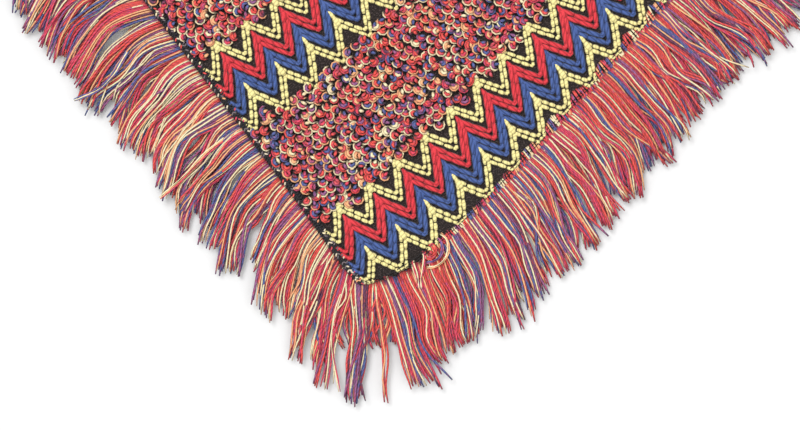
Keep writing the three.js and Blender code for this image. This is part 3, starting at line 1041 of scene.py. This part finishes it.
# Stray yarns, given in millimetres over the floor: height, colours side by side, and points
STRAYS = (
    (7.5, ("cream", "rose"), ((-31, -437), (-42, -470), (-45, -505), (-36, -553))),
    (10.5, ("cream", "apricot"), ((59, -391), (66, -397), (68, -406), (65, -416), (57, -424), (47, -426))),
    (9.6, ("slate", "violet"), ((54, -395), (60, -399), (62, -407), (59, -415), (52, -420), (46, -421))),
    (9.0, ("coral", "coral", "coral"), ((46, -401), (52, -404), (55, -410), (52, -415), (46, -417))),
    (8.8, ("rose", "cream"), ((32, -418), (35, -427), (38, -438), (39, -447))),
    (9.0, ("cream", "rose"), ((43, -409), (44, -421), (42, -435), (43, -447))),
    (10.5, ("cream", "apricot", "rose"), ((-156, -301), (-178, -320), (-200, -345), (-222, -366))),
    (
        11.5,
        ("slate", "cream", "slate"),
        ((-258, -217), (-265, -231), (-274, -246), (-288, -260), (-311, -271)),
    ),
)
# Distance between the yarns of a stray bundle, and how far its start dips into the cloth or the fringe
STRAY_SPACING = 1.6 * MM
STRAY_DIP = 5 * MM

# Where the evenly spaced locks of each hem start, beyond those listed one by one
FIRST_LOCK = {"right": 74 * MM, "left": 33 * MM}
# How far in from the hem's edge a lock's root is
ROOT_INSET = 1.5 * MM
# Least and most of a lock's width as a share of the spacing, and of its own length in millimetres
LOCK_WIDTHS = (0.55, 1.45)
LOCK_LENGTHS = (-9, 5)
# How much a lock turns aside on its own, in degrees
LOCK_TURN = 4.5
# How much shorter the locks of each layer are, the height of their roots and tips over the floor, and
# how much they draw in towards their tips, as a share of their width; the lower locks fan out
FRINGE_LAYERS = {
    "fringe_front": (0.0, 4.9 * MM, 3.4 * MM, (0.0, 0.6)),
    "fringe_back": (9 * MM, 1.6 * MM, 1.3 * MM, (-0.35, 0.1)),
}
# Root and tip height of the locks in POINT_FILL
FILL_HEIGHTS = (2.6 * MM, 1.6 * MM)
# How many bunches a lock hangs in
BUNCHES = 3
# How many yarns leave their lock, and how far these and the others turn aside, in degrees
LEAVING = 0.07
LEAVING_TURN = 9
YARN_TURN = 1.5
# How far a yarn strays from its place in the lock, as a share of its room there and, towards the tip, of
# the lock's width, and from the lock's length, in millimetres
YARN_STRAY = 0.35
TIP_STRAY = 0.10
LENGTH_STRAY = 4
# A lock is this much wider than its stretch of hem, and its bunches close by this share at the tip
LOCK_OVERLAP = 1.06
BUNCH_CLOSING = 0.4
# How high a lock, its middle, a yarn and a yarn that leaves it may rise, in millimetres
LOCK_RISE = 3.4
DOME_RISE = 1.4
YARN_RISE = 0.9
LEAVING_RISE = 1.6
# Least and most of the waves in a bunch's, a lock's and a yarn's course: their size in millimetres, their
# number, and where the first one starts. A bunch also has its own height.
BUNCH_WAVES = ((0.3, 1.8), (0.8, 1.7), (0, 1), (0, 1.5))
LOCK_WAVES = ((1.5, 5.6), (0.6, 1.3), (0, 1))
YARN_WAVES = ((0.2, 1.0), (1.2, 3.2), (0, 1))


def by_distance(at, table, unit=1.0):
    """A value read off a table of distances from the front point in millimetres."""
    stops, values = np.array(table).T
    return np.interp(at / MM, stops, values) * unit


def hem_locks(right_hem, first_lock, spacing, shorter, rng):
    """The locks along one hem: root, heading at the root, bend on the way, length, and width."""
    edges = first_lock + np.cumsum(spacing * rng.uniform(*LOCK_WIDTHS, 100)) - spacing * 0.5
    edges = edges[edges < SIDE_LENGTH - 1 * MM]
    at = (edges[1:] + edges[:-1]) / 2
    width = np.diff(edges)
    swing = POINT_SWING * np.exp(-((at / POINT_SWING_REACH) ** POINT_SWING_POWER))
    bend = np.radians(by_distance(at, BENDS_RIGHT if right_hem else BENDS_LEFT))
    sway = np.radians(rng.normal(0, LOCK_TURN, len(at)))
    length = by_distance(at, LENGTHS_RIGHT if right_hem else LENGTHS_LEFT, MM)
    length = length - shorter + rng.uniform(*LOCK_LENGTHS, len(at)) * MM
    start_turn = swing - bend / 2 + sway * 0.2
    if right_hem:
        x, y = lie(at, ROOT_INSET)
        side_x, side_y = lie(at + 1 * MM, ROOT_INSET)
        heading = -HEM_ANGLE - start_turn
        bend = -(bend + sway)
    else:
        x, y = lie(ROOT_INSET, at)
        side_x, side_y = lie(ROOT_INSET, at + 1 * MM)
        heading = math.pi + HEM_ANGLE + start_turn
        bend = bend + sway
    along_hem = np.arctan2(side_y - y, side_x - x)
    return x, y, along_hem, heading, bend, length, width, at


def waves(share, size, number, start):
    """How far a course swings aside at each share of its way."""
    return size * MM * np.sin(2 * np.pi * (share * number + start))


def lock_yarns(locks, per_width, gather, root_height, tip_height, rng):
    """Centre lines of the yarns of many locks, and each yarn's lock. Each lock hangs in three bunches."""
    x, y, along_hem, heading, bend, length, width, _ = locks
    number = len(x)
    counts = np.maximum(2, np.round(width * per_width).astype(int))
    lock = np.repeat(np.arange(number), counts)
    yarns = len(lock)
    order = np.concatenate([(np.arange(count) + 0.5) / count - 0.5 for count in counts])
    place = order + rng.normal(0, YARN_STRAY, yarns) / counts[lock]
    share = np.linspace(0, 1, YARN_STATIONS)
    middle = (share[1:] + share[:-1]) / 2
    leaves = rng.uniform(0, 1, yarns) < LEAVING
    sway = np.where(leaves, rng.normal(0, LEAVING_TURN, yarns), rng.normal(0, YARN_TURN, yarns))
    angle = heading[lock][:, None] + (bend[lock][:, None] + np.radians(sway)[:, None]) * middle
    step = ((length[lock] + rng.normal(0, LENGTH_STRAY, yarns) * MM) / (YARN_STATIONS - 1))[:, None]
    zero = np.zeros((yarns, 1))
    run_x = x[lock][:, None] + np.concatenate((zero, np.cumsum(step * np.cos(angle), axis=1)), axis=1)
    run_y = y[lock][:, None] + np.concatenate((zero, np.cumsum(step * np.sin(angle), axis=1)), axis=1)

    ease = share**2 * (3 - 2 * share)
    spread = 1 - gather[lock][:, None] * ease + rng.normal(0, TIP_STRAY, (yarns, 1)) * share
    in_lock = np.minimum((order + 0.5) * BUNCHES, BUNCHES - 0.1).astype(int)
    bunch = lock * BUNCHES + in_lock
    bunch_place = (in_lock - 1) / BUNCHES
    place = bunch_place[:, None] + (place - bunch_place)[:, None] * (1 - BUNCH_CLOSING * ease)
    offset = place * (width[lock] * LOCK_OVERLAP)[:, None] * spread
    *bunch_course, bunch_level = (
        rng.uniform(low, high, number * BUNCHES)[bunch][:, None] for low, high in BUNCH_WAVES
    )
    lock_course = [rng.uniform(low, high, number)[lock][:, None] for low, high in LOCK_WAVES]
    yarn_course = [rng.uniform(low, high, (yarns, 1)) for low, high in YARN_WAVES]
    swing = waves(share, *lock_course) + waves(share, *bunch_course) + waves(share, *yarn_course)
    sideways = offset + swing * np.minimum(share * 2.2, 1)
    run_x = run_x + np.cos(along_hem)[lock][:, None] * sideways
    run_y = run_y + np.sin(along_hem)[lock][:, None] * sideways

    dome = 1 - (2 * np.abs(order[:, None])) ** 2
    level = rng.uniform(0, LOCK_RISE, number)[lock][:, None] + bunch_level + DOME_RISE * dome
    level = level + rng.uniform(0, YARN_RISE, (yarns, 1))
    level = level + np.where(leaves, LEAVING_RISE, 0.0)[:, None]
    loft = level * np.sin(np.pi * np.minimum(0.04 + share * 0.8, 1)) ** 0.6
    run_z = root_height + (tip_height - root_height) * ease + loft * MM
    return np.stack((run_x, run_y, run_z), axis=-1), lock


def melange_run(locks, lock, pale_gap, blue, rng):
    """Yarn colours along a hem: a pale yarn every few, and short runs of one deep colour between."""
    yarns = len(lock)
    extra = by_distance(locks[-1][lock], blue)[:, None] + rng.normal(0, 0.25, len(locks[0]))[lock][:, None]
    shares = DEEP_SHARES * np.maximum(1 + DEEP_BLUENESS * extra, 0.1)
    limits = np.cumsum(shares, axis=1) / shares.sum(axis=1, keepdims=True)
    drawn = np.array(DEEP_YARNS)[(rng.uniform(0, 1, (yarns, 1)) > limits[:, :-1]).sum(axis=1)]
    same = rng.uniform(0, 1, yarns) < SAME_COLOUR
    gap = 1
    for number in range(yarns):
        gap -= 1
        if gap <= 0:
            drawn[number] = PALE_YARNS[int(rng.uniform() < CREAM_SHARE)]
            gap = rng.integers(*pale_gap)
        elif same[number] and drawn[number - 1] not in PALE_YARNS:
            drawn[number] = drawn[number - 1]
    return drawn


def smooth_through(points, stations):
    """A smooth line through a few given points."""
    corners = np.array(points, float)
    padded = np.concatenate((2 * corners[:1] - corners[1:2], corners, 2 * corners[-1:] - corners[-2:-1]))
    at = np.linspace(0, len(corners) - 1, stations)
    piece = np.minimum(at.astype(int), len(corners) - 2)
    t = (at - piece)[:, None]
    before, start, end, after = (padded[piece + n] for n in range(4))
    bend = (2 * before - 5 * start + 4 * end - after) * t**2
    twist = (3 * start - before - 3 * end + after) * t**3
    return 0.5 * (2 * start + (end - before) * t + bend + twist)


def point_locks(placed):
    """The listed locks at the front point, in the form that hem_locks gives."""
    rows = []
    for root, tip, root_width, _, _ in placed:
        reach = math.dist(root, tip) * MM
        heading = math.atan2(tip[1] - root[1], tip[0] - root[0])
        rows.append((root[0] * MM, root[1] * MM, 0.0, heading, 0.0, reach, root_width * MM, 0.0))
    return tuple(np.array(rows).T)


# A three-sided tube is this much wider than the yarn, to look as thick
TUBE_WIDER = 1.12
# Thickness of the pale yarns and of the others, least and most of a single yarn's, and how much higher
# the pale ones lie
PALE_THICKNESS = 0.84
DEEP_THICKNESS = 1.12
YARN_SIZES = (0.84, 1.14)
PALE_LIFT = 0.7 * MM


def lay_yarns(strands, lines, colours, thickness, rng):
    """Pale yarns are finer than the others and lie over them."""
    pale = np.isin(colours, PALE_YARNS)[:, None]
    tip = np.ones(YARN_STATIONS)
    tip[-2:] = (0.95, 0.6)
    kind = np.where(pale, PALE_THICKNESS, DEEP_THICKNESS)
    radii = thickness * kind * rng.uniform(*YARN_SIZES, pale.shape) * tip
    lines[:, 1:, 2] += np.where(pale, PALE_LIFT, 0)
    hues = np.random.default_rng(len(colours))
    change = hues.integers(2, YARN_STATIONS - 2, len(colours))[:, None]
    changed = (np.arange(YARN_STATIONS - 1) >= change) & (hues.uniform(0, 1, pale.shape) < CHANGING)
    runs = np.where(changed, TURNS_INTO[colours][:, None], colours[:, None])
    strands.add(lines, radii, 3, runs, 0.9, np.pi / 6)


def lay_point(strands, placed, root_height, tip_height, thickness, rng):
    """The yarns of listed locks."""
    locks = point_locks(placed)
    gather = np.array([1 - row[3] / row[2] for row in placed])
    per_width = np.array([row[4] / row[2] for row in placed]) / MM
    lines, lock = lock_yarns(locks, per_width, gather, root_height, tip_height, rng)
    colours = melange_run(locks, lock, PALE_GAP_RIGHT, BLUE_RIGHT, rng)
    lay_yarns(strands, lines, colours, thickness, rng)


def lay_strays(strands, thickness):
    """The stray yarns near the front point: each starts in the cloth or the fringe and tapers to its end."""
    share = np.linspace(0, 1, YARN_STATIONS)
    radii = thickness * 0.85 * np.minimum((1 - share) * 6 + 0.6, 1)
    for height, colours, points in STRAYS:
        middle = smooth_through(points, YARN_STATIONS) * MM
        run = np.gradient(middle, axis=0)
        run /= np.linalg.norm(run, axis=1, keepdims=True)
        z = height * MM - STRAY_DIP * np.maximum(1 - share / 0.25, 0) ** 2
        for number, colour in enumerate(colours):
            aside = (number - (len(colours) - 1) / 2) * STRAY_SPACING * (1 - 0.4 * share)
            aside = aside + 0.35 * MM * np.sin(share * 12 + number * 2.1)
            x = middle[:, 0] - run[:, 1] * aside
            y = middle[:, 1] + run[:, 0] * aside
            line = np.stack((x, y, z), axis=-1)[None]
            strands.add(line, radii, 4, MELANGE.index(colour), 0.9, np.pi / 4)


class PONCHO_OT_fringe(bpy.types.Operator):
    """Make the fringe yarns of the four hems"""

    bl_idname = "poncho.fringe"
    bl_label = "Fringe"

    def execute(self, context):
        fringe = context.scene.poncho_fringe
        finishes = melange_yarns()
        self.layer("fringe_front", fringe.front_yarns, "fringe_yarn", fringe, finishes)
        self.layer("fringe_back", fringe.back_yarns, "fringe_yarn_under", fringe, finishes)
        return {"FINISHED"}

    def layer(self, name, yarns, slot, fringe, finishes):
        """The yarns of one layer of the garment, along its right hem and its left."""
        thickness = fringe.yarn_width / 2 * TUBE_WIDER
        shorter, root_height, tip_height, draws_in = FRINGE_LAYERS[name]
        for side, gap, blue in (("right", PALE_GAP_RIGHT, BLUE_RIGHT), ("left", PALE_GAP_LEFT, BLUE_LEFT)):
            rng = np.random.default_rng(70 + len(name) + len(side))
            strands = Strands()
            locks = hem_locks(side == "right", FIRST_LOCK[side], fringe.lock_spacing, shorter, rng)
            gather = rng.uniform(*draws_in, len(locks[0]))
            per_width = yarns / fringe.lock_spacing
            lines, lock = lock_yarns(locks, per_width, gather, root_height, tip_height, rng)
            colours = melange_run(locks, lock, gap, blue, rng)
            lay_yarns(strands, lines, colours, thickness, rng)
            if name == "fringe_front" and side == "right":
                lay_point(strands, POINT_LOCKS, root_height, tip_height, thickness, rng)
                lay_point(strands, POINT_FILL, *FILL_HEIGHTS, thickness, rng)
                lay_strays(strands, thickness)
            made = strands.build(f"{name}_{side}_yarns", finishes)
            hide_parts(f"{name}_{side}")


# Half the floor's width and how far it is under the cloth, and how wide and how far aside the sun is
FLOOR_HALF = 12.0
FLOOR_DROP = 0.3 * MM
SUN_SPREAD = math.radians(30)
SUN_TURN = (math.radians(-28), math.radians(-26), 0)


class PONCHO_OT_stage(bpy.types.Operator):
    """Make the white floor, the soft light and the camera"""

    bl_idname = "poncho.stage"
    bl_label = "Stage"

    def execute(self, context):
        scene = context.scene
        stage = scene.poncho_stage
        camera = bpy.data.cameras.new("camera")
        camera.lens = stage.lens
        camera.sensor_width = 36
        camera.clip_end = 60
        seen_from = bpy.data.objects.new("camera", camera)
        distance = stage.view_width * stage.lens / camera.sensor_width
        seen_from.location = (stage.view_x, stage.view_y, distance + LEAF_TOP)
        seen_from.rotation_euler = (0, 0, stage.roll)
        scene.collection.objects.link(seen_from)
        scene.camera = seen_from

        corners = ((-1, -1), (1, -1), (1, 1), (-1, 1))
        points = [(x * FLOOR_HALF, y * FLOOR_HALF, -FLOOR_DROP) for x, y in corners]
        mesh = bpy.data.meshes.new("floor")
        mesh.from_pydata(points, [], [(0, 1, 2, 3)])
        material, _, shader = blank_material("white floor", 0.9, 0.0)
        shader.inputs["Base Color"].default_value = (*stage.floor, 1.0)
        mesh.materials.append(material)
        floor = bpy.data.objects.new("floor", mesh)
        scene.collection.objects.link(floor)

        world = bpy.data.worlds.new("even light")
        world.use_nodes = True
        sky = world.node_tree.nodes["Background"]
        sky.inputs["Color"].default_value = (1, 1, 1, 1)
        sky.inputs["Strength"].default_value = stage.sky
        scene.world = world
        sun = bpy.data.lights.new("soft sun", "SUN")
        sun.energy = stage.sun
        sun.angle = SUN_SPREAD
        lamp = bpy.data.objects.new("soft sun", sun)
        lamp.rotation_euler = SUN_TURN
        scene.collection.objects.link(lamp)
        scene.view_settings.view_transform = "Standard"
        return {"FINISHED"}


class PONCHO_PT_panel(bpy.types.Panel):
    """Lists the poncho's settings and operators in the sidebar"""

    bl_idname = "PONCHO_PT_panel"
    bl_label = "Poncho"
    bl_space_type = "VIEW_3D"
    bl_region_type = "UI"
    bl_category = "Poncho"

    def draw(self, context):
        for settings in (
            context.scene.poncho_knit,
            context.scene.poncho_fringe,
            context.scene.poncho_stage,
        ):
            box = self.layout.box()
            for label in settings.bl_rna.properties.keys():
                if label not in ("rna_type", "name"):
                    box.prop(settings, label)
        for operator in OPERATORS:
            self.layout.operator(operator.bl_idname)


SETTINGS = (
    ("poncho_knit", PonchoKnit),
    ("poncho_fringe", PonchoFringe),
    ("poncho_stage", PonchoStage),
)
OPERATORS = (
    PONCHO_OT_stage,
    PONCHO_OT_cloth,
    PONCHO_OT_zigzags,
    PONCHO_OT_puffs,
    PONCHO_OT_edges,
    PONCHO_OT_fringe,
)


def register():
    for label, settings in SETTINGS:
        bpy.utils.register_class(settings)
        setattr(bpy.types.Scene, label, PointerProperty(type=settings))
    for operator in OPERATORS:
        bpy.utils.register_class(operator)
    bpy.utils.register_class(PONCHO_PT_panel)


def unregister():
    bpy.utils.unregister_class(PONCHO_PT_panel)
    for operator in reversed(OPERATORS):
        bpy.utils.unregister_class(operator)
    for label, settings in reversed(SETTINGS):
        delattr(bpy.types.Scene, label)
        bpy.utils.unregister_class(settings)


def declare_cloth():
    """Gather the names of the trim on the front into a list, which is not used further."""
    numbers = range(1, REPEATS + 1)
    front_trim = ["zigzag_front", "overlock_left_end", "hem_stitches_right", "fringe_roots_right"]
    front_trim += ["neck_binding", *(f"puffs_front_{number}" for number in numbers)]


def main():
    register()
    bpy.ops.poncho.stage()
    bpy.ops.poncho.cloth()
    bpy.ops.poncho.zigzags()
    bpy.ops.poncho.puffs()
    bpy.ops.poncho.edges()
    bpy.ops.poncho.fringe()
    declare_cloth()


if __name__ == "__main__":
    main()
